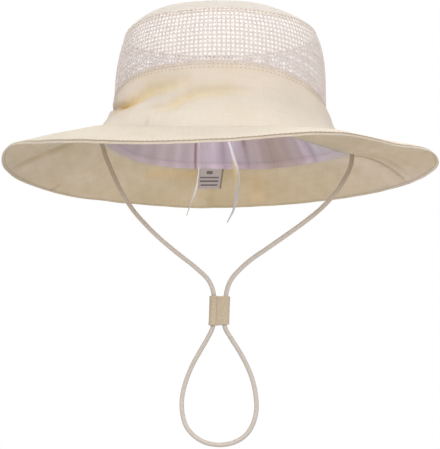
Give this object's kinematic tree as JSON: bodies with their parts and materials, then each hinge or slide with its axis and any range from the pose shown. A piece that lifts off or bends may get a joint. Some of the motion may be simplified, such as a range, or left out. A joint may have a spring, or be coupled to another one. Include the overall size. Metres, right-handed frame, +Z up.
{
  "type": "baby sun hat",
  "caption": "Soft cotton sun hat for a baby: domed top, net ventilation band, wide drooping brim, inner sweatband and a cord chin strap with a slider.",
  "frame": {"origin": "middle of the head opening, level with the crown and brim seam at the front", "axes": "+Z up through the crown, +X to the left of the wearer, -Y to the front"},
  "size_m": [0.2838, 0.276, 0.2843],
  "materials": {
    "cotton": "cream plain-weave cotton, matt",
    "net": "pale square-mesh net, matt",
    "lining": "pale lilac woven sweatband, slight sheen",
    "tag": "white satin tag, bare",
    "ribbon": "white satin ribbon, glossy",
    "cord": "beige braided cord, matt",
    "slider": "beige folded sleeve, satin"
  },
  "bodies": {
    "root": {"crown_top": "cotton", "mesh_band": "net", "crown_band": "cotton", "brim": "cotton", "sweatband": "lining", "size_label": "tag", "ribbon_tail_left": "ribbon", "ribbon_tail_right": "ribbon", "chin_cord": "cord", "cord_slider": "slider"}
  },
  "joints": []
}
